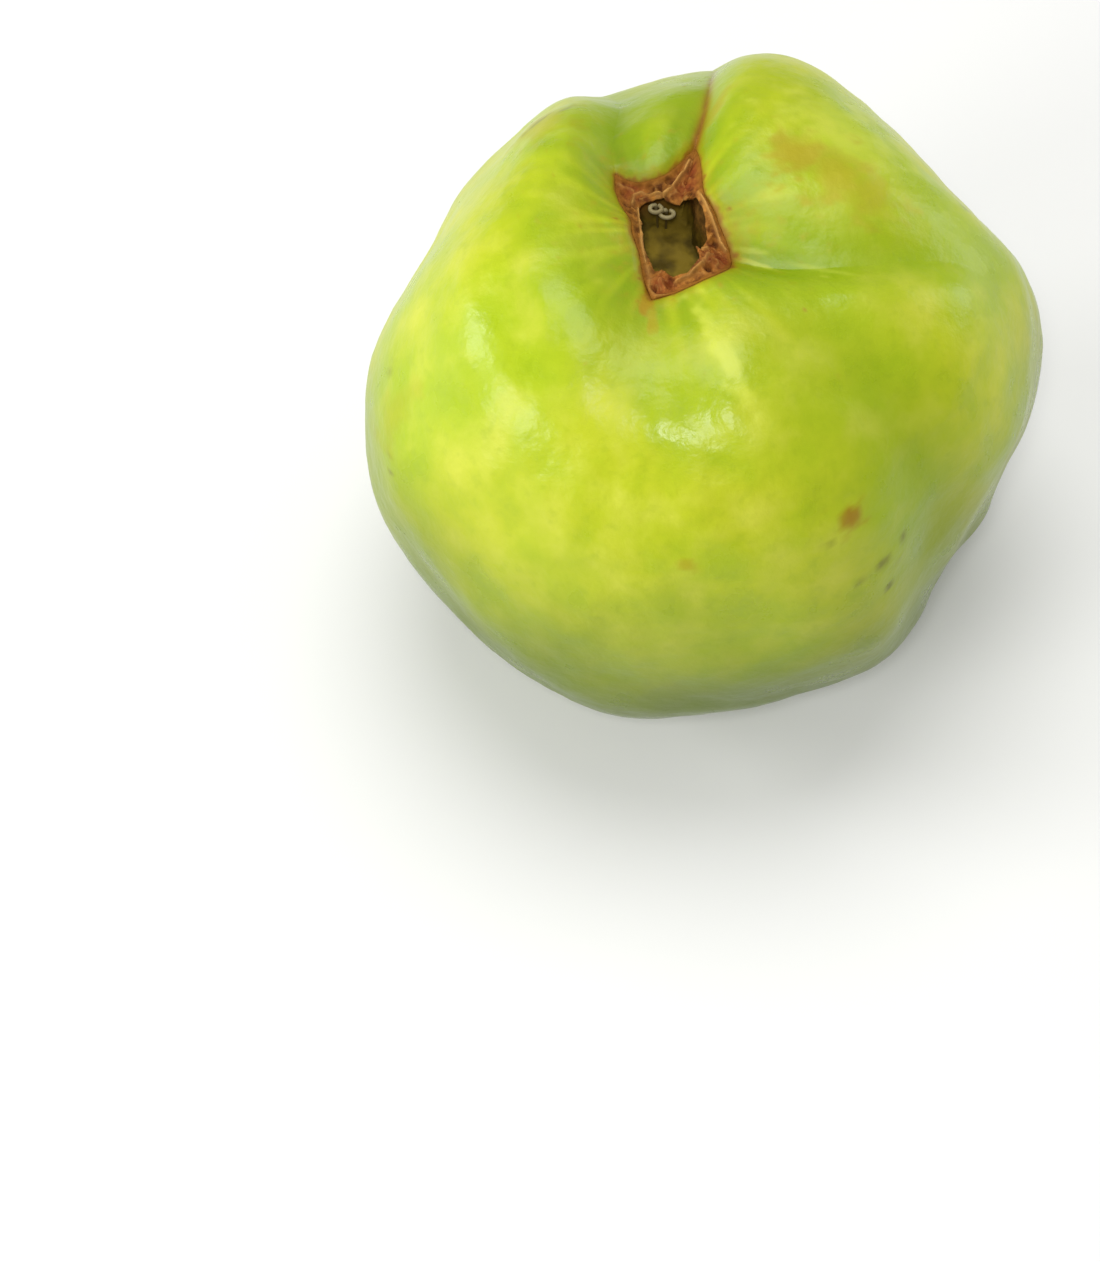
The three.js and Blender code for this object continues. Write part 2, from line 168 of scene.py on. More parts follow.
def skin(azimuth, polar, relief=0):
    """Places on the outer skin, raised by the relief"""
    facing = facing_of(azimuth, polar)
    up = np.maximum(facing[..., 2], 0) ** CALYX_FLATNESS
    down = np.maximum(-facing[..., 2], 0) ** STALK_FLATNESS
    reach = WIDEST_REACH + (CALYX_REACH - WIDEST_REACH) * up + (STALK_REACH - WIDEST_REACH) * down
    reach += sum(swell_height(swell, azimuth, polar) for swell in SWELLS)
    reach -= sum(fold_depth(fold, azimuth, polar) for fold in FOLDS)
    reach -= sum(valley_depth(valley, azimuth, polar) for valley in VALLEYS)
    reach += sum(ripple_height(ripple, facing) for ripple in RIPPLES)
    reach -= PIT["depth"] * bell((math.pi - polar) / math.radians(PIT["spread"]))
    points = facing * (reach + relief)[..., None]
    leaning = 1 - smooth(polar, math.radians(LEAN["whole"]), math.radians(LEAN["none"]))
    points[..., 0] += LEAN["x"] * leaning
    points[..., 1] += LEAN["y"] * leaning
    points[..., 2] = np.maximum(points[..., 2], -REST_DEPTH)
    return points


# The star-shaped edge round the calyx. Columns of points run down the fruit from it and keep to the folds.
# Half way between each fold and the next the edge comes near the calyx's middle. It is narrow in the corners,
# by one power at its start and another at its end.
EDGE_SIDES = [
    {"half": 9.4, "narrow": (2.5, 2.8), "columns": 56},
    {"half": 4.5, "narrow": (4.0, 3.4), "columns": 144},
    {"half": 8.1, "narrow": (1.4, 1.3), "columns": 104},
    {"half": 5.3, "narrow": (2.5, 3.1), "columns": 96},
]
MEAN_EDGE = 8.0
HOLLOW = {"depth": 7.0, "floor": 6.4, "step": 0.8, "bend": 1.5}
# How much further into its sharp corners than along its sides a lining of even thickness reaches
CORNER_STRETCH = 1.4
# Columns crowd towards the corners by this much.
CROWDING = 0.09


def columns_between(index):
    """The columns from one fold to the next, with their azimuths near the calyx and away from it"""
    fold, next_fold, side = FOLDS[index], FOLDS[(index + 1) % len(FOLDS)], EDGE_SIDES[index]
    steps = np.arange(side["columns"]) / side["columns"]
    way = steps - CROWDING * np.sin(TURN * steps)
    corner = np.abs(2 * way - 1) ** np.where(way < 0.5, *side["narrow"])
    edge = mixed(side["half"], mixed(fold["corner"], next_fold["corner"], way), corner)
    near = fold["near"] + (next_fold["near"] - fold["near"]) % 360 * way
    far = fold["far"] + (next_fold["far"] - fold["far"]) % 360 * way
    return np.stack([np.radians(near), np.radians(far), edge, corner])


all_columns = [columns_between(index) for index in range(len(FOLDS))]
near, far, edge_reach, corner = np.concatenate(all_columns, axis=1)
edge_polar = np.arctan2(edge_reach, CALYX_REACH)
edge = skin(mixed(near, far, settled(edge_polar)), edge_polar)
calyx_middle = np.array([LEAN["x"], LEAN["y"]])
from_middle = np.hypot(*(edge[:, :2] - calyx_middle).T)
outwards = (edge[:, :2] - calyx_middle) / from_middle[:, None]
hollow_floor = edge[:, 2].mean() - HOLLOW["depth"]


def around_calyx(reach, height):
    """A ring of points at a reach from the calyx's middle and a height, both of them one for each column"""
    return np.column_stack([calyx_middle + outwards * reach[:, None], np.broadcast_to(height, reach.shape)])


# The skin: green, waxed and faintly beaten, with soft pebbles that show in its gloss. It is one mesh from the
# stalk's socket over the foot and the shoulders, and droops at the calyx into the hollow under it.
SOCKET = {"radius": 2.8, "depth": 2.6}
SKIN_ROWS = 212
ROW_CROWDING = 1.25
EDGE_PULL = 8
WALL_ROWS = 6
DROOP = {"depth": 0.45, "reach": 1.3}
RELIEF = [{"size": 8.0, "height": 0.22}, {"size": 3.8, "height": 0.14}, {"size": 1.8, "height": 0.045}]
RELIEF_FADES = {"edge": 4, "foot": (148, 160)}


def grain(points, size):
    """Smooth noise from about -1 to 1 at each point, in bumps about as far apart as the size"""
    flat = points.reshape(-1, 3) / size
    return np.array([noise.noise(Vector(point)) for point in flat]).reshape(points.shape[:-1])


def mesh_of_rings(name, rings, first, last, attributes):
    """A closed mesh from rings of points, from a single first point to a single last one"""
    rows, columns = rings.shape[:2]
    points = np.concatenate([[first], rings.reshape(-1, 3), [last]]) + MIDDLE
    number = 1 + np.arange(rows * columns).reshape(rows, columns)
    beside = np.roll(number, -1, axis=1)
    quads = np.stack([number[:-1], beside[:-1], beside[1:], number[1:]], axis=-1).reshape(-1, 4)
    end = len(points) - 1
    faces = quads.tolist()
    faces += [(0, right, left) for left, right in zip(number[0].tolist(), beside[0].tolist())]
    faces += [(end, left, right) for left, right in zip(number[-1].tolist(), beside[-1].tolist())]
    mesh = bpy.data.meshes.new(name)
    mesh.from_pydata((points * MM).tolist(), [], faces)
    mesh.shade_smooth()
    for key, values in attributes.items():
        layer = mesh.attributes.new(key, "FLOAT", "POINT")
        flat = np.concatenate([[values[0].mean()], values.ravel(), [values[-1].mean()]])
        layer.data.foreach_set("value", flat.astype(np.float32))
    piece = bpy.data.objects.new(name, mesh)
    bpy.context.scene.collection.objects.link(piece)
    return piece


socket_mouth = math.pi - math.atan2(SOCKET["radius"], STALK_REACH - PIT["depth"])
mean_polar = math.atan2(MEAN_EDGE, CALYX_REACH)
part = 1 - (1 - np.arange(SKIN_ROWS + 1) / SKIN_ROWS) ** ROW_CROWDING
part = part[:, None]
polar = mixed(socket_mouth, mean_polar, part) + (edge_polar - mean_polar) * part**EDGE_PULL
azimuth = mixed(near, far, settled(polar))
facing = facing_of(azimuth, polar)
smooth_rings = skin(azimuth, polar)
to_edge = np.array([np.linalg.norm(row[:, None] - edge, axis=-1).min(axis=1) for row in smooth_rings])


def skin_grain(size):
    """Noise over the whole skin, in bumps about as far apart as the size"""
    return grain(facing * WIDEST_REACH, size)


def until(start, end):
    """1 from the calyx down to one polar angle, and 0 from another one on"""
    return 1 - smooth(polar, *np.radians((start, end)))


# The relief only goes inwards, so the skin lies just under the body's own surface.
bumps = sum(layer["height"] * (skin_grain(layer["size"]) - 1) for layer in RELIEF)
relief = bumps * smooth(to_edge, 0, RELIEF_FADES["edge"]) * until(*RELIEF_FADES["foot"])
skin_rings = skin(azimuth, polar, relief)
skin_rings[..., 2] -= DROOP["depth"] * np.clip(1 - to_edge / DROOP["reach"], 0, 1) ** 2
socket_top = skin(np.zeros(1), np.full(1, socket_mouth))[0, 2] + SOCKET["depth"]
socket_ring = skin_rings[0].copy()
socket_ring[:, 2] = socket_top


def hollow_wall(down, inset):
    """A ring on the wall of the hollow, from its edge at down 0 to its floor at down 1, inset from it"""
    top = from_middle - inset * (1 + CORNER_STRETCH * corner)
    foot = np.minimum(from_middle - HOLLOW["step"], HOLLOW["floor"]) - inset
    height = mixed(edge[:, 2], hollow_floor + inset, 1 - (1 - down) ** HOLLOW["bend"])
    return around_calyx(mixed(top, foot, down), height)


wall_rings = [hollow_wall(row / WALL_ROWS, 0) for row in range(1, WALL_ROWS + 1)]
fruit_rings = np.concatenate([[socket_ring], skin_rings, wall_rings])

# The skin's finish follows the folds, the calyx's edge and the marks. Marks are placed by azimuth and polar
# angle, and reach so many millimetres across and along the fruit: soft ochre stains, brown spots, small dull
# scars, and painted highlights, pale lines that run out from the calyx and pale patches on ridges, where the
# gloss catches the light.
STAINS = [
    {"at": (35, 26.5), "reach": (3.6, 2.8), "strength": 0.9},
    {"at": (24, 30), "reach": (4.6, 3.2), "strength": 0.65},
    {"at": (14, 34), "reach": (3.6, 3.2), "strength": 0.5},
    {"at": (252, 19), "reach": (0.8, 1.6), "strength": 1.0},
    {"at": (256, 22.5), "reach": (0.6, 1.8), "strength": 0.8},
    {"at": (79, 31), "reach": (1.0, 2.6), "strength": 0.6},
    {"at": (135, 44), "reach": (4.0, 6.0), "strength": 0.4},
    {"at": (265, 63.5), "reach": (1.0, 0.8), "strength": 0.7},
    {"at": (200, 70), "reach": (2.0, 5.0), "strength": 0.25},
]
SPOTS = [
    {"at": (296.5, 60), "reach": (1.6, 1.5), "strength": 1.0},
    {"at": (133, 52), "reach": (1.3, 2.2), "strength": 0.5},
    {"at": (252, 18.5), "reach": (0.9, 2.0), "strength": 0.6},
]
SCARS = [
    {"at": (301.5, 73), "reach": (1.1, 0.7), "strength": 0.8},
    {"at": (308, 71.5), "reach": (0.5, 1.1), "strength": 0.8},
    {"at": (303, 80), "reach": (0.8, 0.6), "strength": 0.9},
    {"at": (305, 76), "reach": (0.5, 0.5), "strength": 0.8},
    {"at": (297, 74), "reach": (0.6, 0.8), "strength": 0.7},
    {"at": (134, 47), "reach": (1.6, 1.0), "strength": 0.6},
    {"at": (128, 43), "reach": (1.2, 0.7), "strength": 0.5},
    {"at": (291, 63), "reach": (0.7, 0.5), "strength": 0.6},
    {"at": (192, 68), "reach": (0.6, 1.2), "strength": 0.6},
    {"at": (206, 78), "reach": (0.5, 0.5), "strength": 0.8},
    {"at": (18.5, 54.5), "reach": (0.5, 0.8), "strength": 0.7},
]
# Painted highlights: pale lines and patches where ridges catch the light.
PAINTED_HIGHLIGHTS = [
    {"at": (345, 16.5), "reach": (0.4, 2.9), "strength": 0.3},
    {"at": (337, 18), "reach": (0.45, 3.8), "strength": 0.45},
    {"at": (343, 28), "reach": (0.45, 3.2), "strength": 0.2},
    {"at": (282, 28), "reach": (1.5, 6.5), "strength": 0.5},
    {"at": (38, 36), "reach": (7.0, 5.0), "strength": 0.35},
]
MARK_FADE = (0.35, 1.35)
# How much the outlines of the marks and of the browned edge wander, in bumps of which size
MARK_WANDER = [(0.7, 2.2), (0.4, 0.9)]
EDGE_WANDER = [(0.9, 1.3), (0.5, 0.6)]


def wandering(layers):
    """A factor that wanders round 1 over the skin"""
    return 1 + sum(share * skin_grain(size) for share, size in layers)


mark_wander = wandering(MARK_WANDER)


def all_marks(marks):
    """How strongly the marks colour each place"""
    strength = np.zeros_like(polar)
    for mark in marks:
        mark_azimuth, mark_polar = np.radians(mark["at"])
        across = nearest(azimuth - mark_azimuth) * np.sin(polar) * WIDEST_REACH / mark["reach"][0]
        along = (polar - mark_polar) * WIDEST_REACH / mark["reach"][1]
        distance = np.hypot(across, along) * mark_wander
        strength = np.maximum(strength, mark["strength"] * (1 - smooth(distance, *MARK_FADE)))
    return strength


# How far the skin has browned along the calyx's edge: at least so much, and more round some azimuths, each
# with its spread. The brown fades between two shares of that reach, and the ochre goes on further out.
EDGE_BROWNING = {"least": 0.6, "more": [(5, 34, 0.6), (180, 40, 0.6), (252, 12, 0.3), (336, 10, 0.4)]}
BROWN_EDGE = (0.05, 0.75)
OCHRE_EDGE = 1.5
# What stains the crease of the sharpest fold, each to where it ends between two polar angles: a thin broken
# line, browner near the calyx, with ochre beside it
CREASE_LINE = {"width": 0.5, "ends": (42, 64), "whole": 0.9, "broken": 0.8, "size": 1.6}
BROWN_LINE = {"share": 0.8, "ends": (24, 40)}
BROWN_CREASE = {"width": 0.7, "ends": (25, 33)}
OCHRE_CREASE = {"share": 0.8, "width": 0.9, "ends": (30, 48)}
# Where the green is deeper: painted shade in the folds and low on the fruit, where the light falls less, and
# streaks that run out from the calyx, deepened towards it by painted shade in its hollow. The streaks change
# faster round the fruit than down it.
FULL_FOLD_SHADE = 4
STREAKS = (9, 9, 5)
STREAKED_CALYX_SHADE = {"reach": 7.5, "plain": 0.75, "streaks": 1.1}
LOW_SHADE = {"full": -16, "none": 22, "wander": 6, "size": 14}
# Painted shade: the folds and valleys are coloured darker the deeper they are, and half dark on the hollow's
# wall.
fold_shade_depth = sum(fold_depth(fold, azimuth, polar) for fold in FOLDS)
fold_shade_depth += sum(valley_depth(valley, azimuth, polar) for valley in VALLEYS)
crease_aside = nearest(azimuth - fold_line(FOLDS[0], polar)) * np.sin(polar) * WIDEST_REACH


def crease_stain(stain):
    return bell(crease_aside / stain["width"]) * until(*stain["ends"])


crease = crease_stain(CREASE_LINE)
crease *= np.clip(CREASE_LINE["whole"] + CREASE_LINE["broken"] * skin_grain(CREASE_LINE["size"]), 0, 1)
brown_line = BROWN_LINE["share"] * crease * until(*BROWN_LINE["ends"])
brown_crease = np.maximum(brown_line, crease_stain(BROWN_CREASE))
ochre_crease = OCHRE_CREASE["share"] * crease_stain(OCHRE_CREASE)
# Real streaks of deeper green near the calyx, with painted shade that deepens the green into the calyx's
# hollow.
streaks = grain(np.stack([np.cos(azimuth), np.sin(azimuth), polar], axis=-1) * STREAKS, 1)
streaked_calyx_shade = np.clip(STREAKED_CALYX_SHADE["plain"] + STREAKED_CALYX_SHADE["streaks"] * streaks, 0, 1)
streaked_calyx_shade *= np.exp(-to_edge / STREAKED_CALYX_SHADE["reach"])
# Painted shade: the skin is coloured darker towards the bottom of the fruit, away from the light.
low_shade_level = smooth_rings[..., 2] + LOW_SHADE["wander"] * skin_grain(LOW_SHADE["size"])
painted_low_shade = 1 - smooth(low_shade_level, LOW_SHADE["full"], LOW_SHADE["none"])
edge_browning = EDGE_BROWNING["least"] + sum(
    bell(nearest(azimuth - math.radians(middle)) / math.radians(spread)) * more
    for middle, spread, more in EDGE_BROWNING["more"]
)
browned_part = to_edge * wandering(EDGE_WANDER) / edge_browning
rim = 1 - smooth(browned_part, *BROWN_EDGE)
ochre_edge = np.exp(-np.maximum(browned_part, 0) / OCHRE_EDGE)
ochre = np.maximum.reduce([all_marks(STAINS), ochre_crease, ochre_edge])


def over_all_rows(values, wall_value):
    """Values on the skin's rows, carried on to the socket and the hollow's wall"""
    return np.concatenate([values[:1], values, np.full((WALL_ROWS, len(near)), wall_value)])


fruit = mesh_of_rings(
    "waxed_skin",
    fruit_rings,
    (0, 0, socket_top),
    (*calyx_middle, hollow_floor),
    {
        "fold": over_all_rows(fold_shade_depth / FULL_FOLD_SHADE, 0.5),
        "streaked_calyx_shade": over_all_rows(streaked_calyx_shade, 1),
        "painted_low_shade": over_all_rows(painted_low_shade, 0),
        "ochre": over_all_rows(ochre, 1),
        "spot": over_all_rows(all_marks(SPOTS), 0),
        "scar": over_all_rows(all_marks(SCARS), 0),
        "painted_highlight": over_all_rows(all_marks(PAINTED_HIGHLIGHTS), 0),
        "crease": over_all_rows(crease, 0),
        "rim": over_all_rows(np.maximum(rim, brown_crease), 1),
    },
)


def colour(hex_colour):
    """An sRGB hex colour as linear red, green, blue and full alpha"""
    parts = [int(hex_colour[at : at + 2], 16) / 255 for at in (1, 3, 5)]
    linear = [part / 12.92 if part <= 0.04045 else ((part + 0.055) / 1.055) ** 2.4 for part in parts]
    return (*linear, 1)


def add_node(tree, kind, inputs=(), **settings):
    """A node with its settings. Each input is a value to set or another node's output to link."""
    node = tree.nodes.new(kind)
    for name, value in settings.items():
        setattr(node, name, value)
    for socket, value in dict(inputs).items():
        if isinstance(value, bpy.types.NodeSocket):
            tree.links.new(value, node.inputs[socket])
        else:
            node.inputs[socket].default_value = value
    return node


def new_material(name):
    """A material, its node tree and its shader"""
    material = bpy.data.materials.new(name)
    material.use_nodes = True
    tree = material.node_tree
    return material, tree, tree.nodes["Principled BSDF"]


# A colour mix's sockets by number, because its names stand for several kinds of value
FACTOR, FROM, TO, MIXED = 0, 6, 7, 2

# Guava skin under its natural wax. The wax gives a soft gloss, broken up where the skin is beaten. The pale
# flesh behind the skin lets a little light through, which keeps the greens bright and yellowish.
waxed_skin, tree, shader = new_material("guava skin under natural wax")
place = add_node(tree, "ShaderNodeTexCoord").outputs["Object"]
broad = add_node(tree, "ShaderNodeTexNoise", {"Vector": place, "Scale": 1 / (22 * MM), "Detail": 2})
broad_way = add_node(
    tree, "ShaderNodeMapRange", {"Value": broad.outputs[0], "From Min": 0.38, "From Max": 0.62}
)
ground = add_node(
    tree,
    "ShaderNodeMix",
    {FACTOR: broad_way.outputs[0], FROM: colour("#B8C122"), TO: colour("#A6BA19")},
    data_type="RGBA",
)
blotches = add_node(tree, "ShaderNodeTexNoise", {"Vector": place, "Scale": 1 / (6 * MM), "Detail": 5})
flecks = add_node(tree, "ShaderNodeTexNoise", {"Vector": place, "Scale": 1 / (1.7 * MM), "Detail": 3})
layered = ground.outputs[MIXED]
for pattern, none, full, most, hex_colour in (
    (blotches, 0.5, 0.3, 0.6, "#98B012"),
    (blotches, 0.5, 0.72, 0.5, "#D0D04A"),
    (flecks, 0.56, 0.76, 0.25, "#8CA316"),
):
    way = add_node(
        tree,
        "ShaderNodeMapRange",
        {"Value": pattern.outputs[0], "From Min": none, "From Max": full, "To Max": most},
    )
    layer = add_node(
        tree,
        "ShaderNodeMix",
        {FACTOR: way.outputs[0], FROM: layered, TO: colour(hex_colour)},
        data_type="RGBA",
    )
    layered = layer.outputs[MIXED]
# These layers paint shade low on the fruit, in the folds and round the calyx, and paint highlights on some
# ridges, over the skin's own stains, spots, scars, crease line and browned edge.
for attribute, hex_colour, most in (
    ("painted_low_shade", "#586A0C", 0.95),
    ("fold", "#779508", 0.8),
    ("streaked_calyx_shade", "#749406", 0.88),
    ("painted_highlight", "#DDE35C", 0.8),
    ("ochre", "#A8910A", 0.82),
    ("spot", "#9C7208", 0.9),
    ("scar", "#62600C", 0.9),
    ("crease", "#8E6A1E", 0.85),
    ("rim", "#8A5A12", 0.9),
):
    amount = add_node(tree, "ShaderNodeAttribute", attribute_name=attribute)
    way = add_node(tree, "ShaderNodeMapRange", {"Value": amount.outputs["Fac"], "To Max": most})
    layer = add_node(
        tree,
        "ShaderNodeMix",
        {FACTOR: way.outputs[0], FROM: layered, TO: colour(hex_colour)},
        data_type="RGBA",
    )
    layered = layer.outputs[MIXED]
tree.links.new(layered, shader.inputs["Base Color"])
gloss = add_node(
    tree,
    "ShaderNodeMapRange",
    {"Value": blotches.outputs[0], "From Min": 0.3, "From Max": 0.7, "To Min": 0.24, "To Max": 0.39},
)
dry_rim = add_node(tree, "ShaderNodeAttribute", attribute_name="ochre")
dry_way = add_node(
    tree,
    "ShaderNodeMapRange",
    {"Value": dry_rim.outputs["Fac"], "To Min": gloss.outputs[0], "To Max": 0.6},
)
tree.links.new(dry_way.outputs[0], shader.inputs["Roughness"])
pebbles = add_node(tree, "ShaderNodeTexNoise", {"Vector": place, "Scale": 1 / (1.2 * MM), "Detail": 3})
pebbled = add_node(
    tree, "ShaderNodeBump", {"Height": pebbles.outputs[0], "Strength": 0.5, "Distance": 0.18 * MM}
)
tree.links.new(pebbled.outputs[0], shader.inputs["Normal"])
shader.inputs["IOR"].default_value = 1.45
shader.inputs["Specular IOR Level"].default_value = 0.34
shader.inputs["Subsurface Weight"].default_value = 0.1
shader.inputs["Subsurface Radius"].default_value = (1.0, 0.9, 0.25)
shader.inputs["Subsurface Scale"].default_value = 2.0 * MM
fruit.data.materials.append(waxed_skin)
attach(fruit, "root")
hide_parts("fruit")

# The calyx: the flower's dried cup, which lines the hollow, and its four sepals. They grew from the cup's
# edge and have dried folded in over the corners. It is brittle and crumpled, reddish brown with paler folded
# edges.
OUTER_GAP = 0.3
INNER_WALL = 1.0
OUTSIDE_DOWNS = (1, 0.7, 0.4, 0.2)
# The lip laps over the skin's drooping edge by two rings, each with its inset and how far it is raised.
LIP = ((0.03, -0.05), (-0.05, 0.12))
SHELF_ROWS = 38
SHELF_CROWDING = 1.2
SHELF_START = 0.04
LEAST_SHELF = 0.5
BEAD = {"reach": 0.24, "rows": 6, "turns": (60, -90)}
INSIDE_ROWS = 16
INSIDE_START = 0.28
FLOOR_ROWS = 12
# The calyx's outline where it opens, as azimuths and distances from its middle
OPENING = [
    (13, 4.1), (47, 4.9), (60, 5.7), (68, 4.8), (87, 5.2), (98, 5.9), (118, 6.15),
    (126, 6.1), (137, 4.9), (152, 3.8), (194, 3.5), (234, 4.4), (249, 5.5), (263, 6.1),
    (273, 6.4), (286, 6.5), (302, 5.7), (315, 3.9), (340, 3.8), (354, 4.3),
]
# How deep its edge wavers, in waves of which size at which reach
OPENING_WAVER = {"depth": 0.15, "size": 1.1, "reach": 5}
# How the sepals rise from the skin's level, from their rim inwards: they dip and then swell, up to a top.
SEPALS = {"start": -0.33, "dip": -0.4, "dips": (0.1, 0.8), "swell": 0.35, "swells": (0.9, 2.4), "top": 0.45}
# Sharp crumples of two sizes, which a warp bends. They flatten out at the rim and beside the folded edges.
CRUMPLES = {"level": 0.32, "size": 1.5, "fine": 0.45, "fine_size": 0.65, "height": 1.3, "rim": 1.1}
BESIDE_RIDGE = {"flat": 0.7, "reach": 0.5}
WARP = {"by": 0.5, "size": 1.6, "shifts": (2, 5, 8)}
# Folded edges that stand up, each with its height, its width, how tan it is and the places that it goes
# through across and back from the middle
RIDGES = [
    (0.95, 0.28, 1.0, [(2.3, 10.7), (1.63, 9.3), (0.8, 8.0), (0.0, 6.7), (-0.7, 6.0)]),
    (0.5, 0.24, 0.8, [(-4.3, 5.0), (-4.1, 6.2), (-3.3, 6.7), (-2.3, 6.2), (-1.2, 6.3)]),
    (0.35, 0.25, 0.5, [(-5.69, 7.73), (-4.19, 6.9)]),
    (0.4, 0.17, 1.0, [(-3.67, 4.43), (-3.5, 1.44), (-3.4, -1.68), (-2.9, -3.92)]),
    (0.35, 0.3, 0.5, [(-2.75, -4.5), (-2.5, -5.92), (-2.59, -8.36)]),
    (0.45, 0.17, 1.0, [(3.04, 5.24), (3.9, 2.95), (4.77, 0.97), (5.49, -0.87), (6.03, -1.84)]),
    (0.7, 0.26, 0.6, [(0.35, -7.22), (1.81, -6.68), (3.31, -5.42), (4.14, -3.29), (4.6, -2.6)]),
    (0.4, 0.24, 0.7, [(2.9, -2.64), (3.4, -1.48), (3.95, -1.35)]),
    (0.45, 0.28, 0.2, [(-2.0, -6.5), (-1.4, -6.9), (-0.86, -8.0)]),
    (0.3, 0.3, 0.4, [(-2.7, -8.2), (-1.8, -9.1), (-0.7, -9.2)]),
]
# How much of their length the folded edges are broken up, and in stretches of which size
BREAKS = {"whole": 0.95, "broken": 0.8, "size": 1.1, "least": 0.45}
# Rounded crumples, and patches that have dried redder, as places and reaches
LUMPS = [
    {"at": (5.2, -3.2), "reach": 0.75, "height": 0.75},
    {"at": (4.4, -4.9), "reach": 0.6, "height": 0.35},
    {"at": (-1.5, -7.2), "reach": 0.5, "height": 0.4},
    {"at": (-1.9, -8.0), "reach": 0.4, "height": -0.5},
    {"at": (-4.7, 7.3), "reach": 0.8, "height": 0.3},
    {"at": (1.9, 6.6), "reach": 0.9, "height": -0.25},
]
RED_PATCHES = [
    {"at": (5.0, -3.6), "reach": 2.6},
    {"at": (-1.2, -7.6), "reach": 1.9},
    {"at": (1.9, 6.9), "reach": 1.7},
    {"at": (2.4, 9.2), "reach": 1.4},
    {"at": (-4.2, 6.9), "reach": 1.6},
]
# The cup's wrinkles, which run upright
WRINKLES = {"upright": 0.35, "broad": 0.5, "broad_size": 2.2, "fine": 0.2, "fine_size": 0.9, "inwards": 0.08}
# Tints: tan on the highest crumples and the bead's first rows, painted shade in the dips, under the bead and
# down the cup, olive down the cup, and orange at the rim
TAN = {"share": 0.5, "crumples": (0.16, 0.32), "from_rim": (0.5, 1.2), "bead_rows": 2, "bead": 0.8}
PAINTED_HOLLOW_SHADE = {"dips": (0.75, 1.35), "under_bead": 0.8, "cup": 0.6}
OLIVE = {"under_bead": 0.2, "cup": (0.2, 2.6)}
ORANGE = {"reach": 0.7, "wander": 0.8, "size": 0.8}
opening_azimuths, opening_reaches = np.array(OPENING).T
sight = np.arctan2(outwards[:, 1], outwards[:, 0])
along_rim = np.column_stack([outwards * OPENING_WAVER["reach"], np.zeros(len(near))])
opening = np.interp(np.degrees(sight) % 360, opening_azimuths, opening_reaches, period=360)
opening += OPENING_WAVER["depth"] * grain(along_rim, OPENING_WAVER["size"])


def lined(inset):
    """How far the calyx reaches in each column, inset from the hollow's edge"""
    return from_middle - inset * (1 + CORNER_STRETCH * corner)


def distance_to(places, through):
    """Distances in plan from places to the line through others"""
    distances = []
    for start, end in zip(through, through[1:]):
        start, along = np.array(start), np.subtract(end, start)
        way = np.clip((places - start) @ along / (along @ along), 0, 1)
        distances.append(np.linalg.norm(places - start - way[..., None] * along, axis=-1))
    return np.min(distances, axis=0)


def drift(points, size, shifts):
    """Noise for each of the three directions"""
    return np.stack([grain(points + shift, size) for shift in shifts], axis=-1)


rings = [hollow_wall(down, OUTER_GAP) for down in OUTSIDE_DOWNS]
rings += [around_calyx(lined(inset), edge[:, 2] - DROOP["depth"] + raised) for inset, raised in LIP]
first_shelf = len(rings)
opening = np.minimum(opening, lined(LEAST_SHELF))
shelf_way = (np.arange(SHELF_ROWS) / (SHELF_ROWS - 1))[:, None] ** SHELF_CROWDING
shelf_reach = mixed(lined(SHELF_START), opening, shelf_way)
shelf_places = outwards * shelf_reach[..., None]
star = edge[:, :2] - calyx_middle
to_rim = np.array([np.linalg.norm(row[:, None] - star, axis=-1).min(axis=1) for row in shelf_places])
flat_places = np.concatenate([shelf_places, np.zeros((*shelf_reach.shape, 1))], axis=-1)
flat_places += WARP["by"] * drift(flat_places, WARP["size"], WARP["shifts"])
crumples = CRUMPLES["level"] - np.abs(grain(flat_places, CRUMPLES["size"]))
crumples -= CRUMPLES["fine"] * np.abs(grain(flat_places, CRUMPLES["fine_size"]))
rise = SEPALS["start"] + SEPALS["dip"] * smooth(to_rim, *SEPALS["dips"])
rise += SEPALS["swell"] * smooth(to_rim, *SEPALS["swells"])
tan = TAN["share"] * smooth(crumples, *TAN["crumples"]) * smooth(to_rim, *TAN["from_rim"])
breaks = BREAKS["whole"] + BREAKS["broken"] * grain(flat_places, BREAKS["size"])
breaks = np.clip(breaks, BREAKS["least"], 1)
loose = np.minimum(to_rim / CRUMPLES["rim"], 1)
for height, width, tan_share, through in RIDGES:
    distance = distance_to(shelf_places, through)
    closeness = bell(distance / width) * breaks
    rise += height * closeness
    tan = np.maximum(tan, tan_share * closeness)
    loose *= 1 - BESIDE_RIDGE["flat"] * bell(distance / BESIDE_RIDGE["reach"])
for lump in LUMPS:
    rise += lump["height"] * bell(np.linalg.norm(shelf_places - lump["at"], axis=-1) / lump["reach"])
rise = np.minimum(rise + CRUMPLES["height"] * crumples * loose, SEPALS["top"])
shelf_height = edge[:, 2] + rise
rings += [around_calyx(reach, height) for reach, height in zip(shelf_reach, shelf_height)]
bead_turns = np.radians(np.linspace(*BEAD["turns"], BEAD["rows"]))
bead_height = shelf_height[-1] - BEAD["reach"]
rings += [
    around_calyx(opening - BEAD["reach"] * math.cos(turn), bead_height + BEAD["reach"] * math.sin(turn))
    for turn in bead_turns
]
inside_downs = np.linspace(INSIDE_START, 1, INSIDE_ROWS)
inside_rings = [hollow_wall(down, INNER_WALL) for down in inside_downs]
rings += inside_rings
floor_ways = np.linspace(1, 0, FLOOR_ROWS + 1)[1:-1]
floor_middle = np.array([*calyx_middle, hollow_floor + INNER_WALL])
rings += [mixed(floor_middle, inside_rings[-1], way) for way in floor_ways]
rings = np.array(rings)
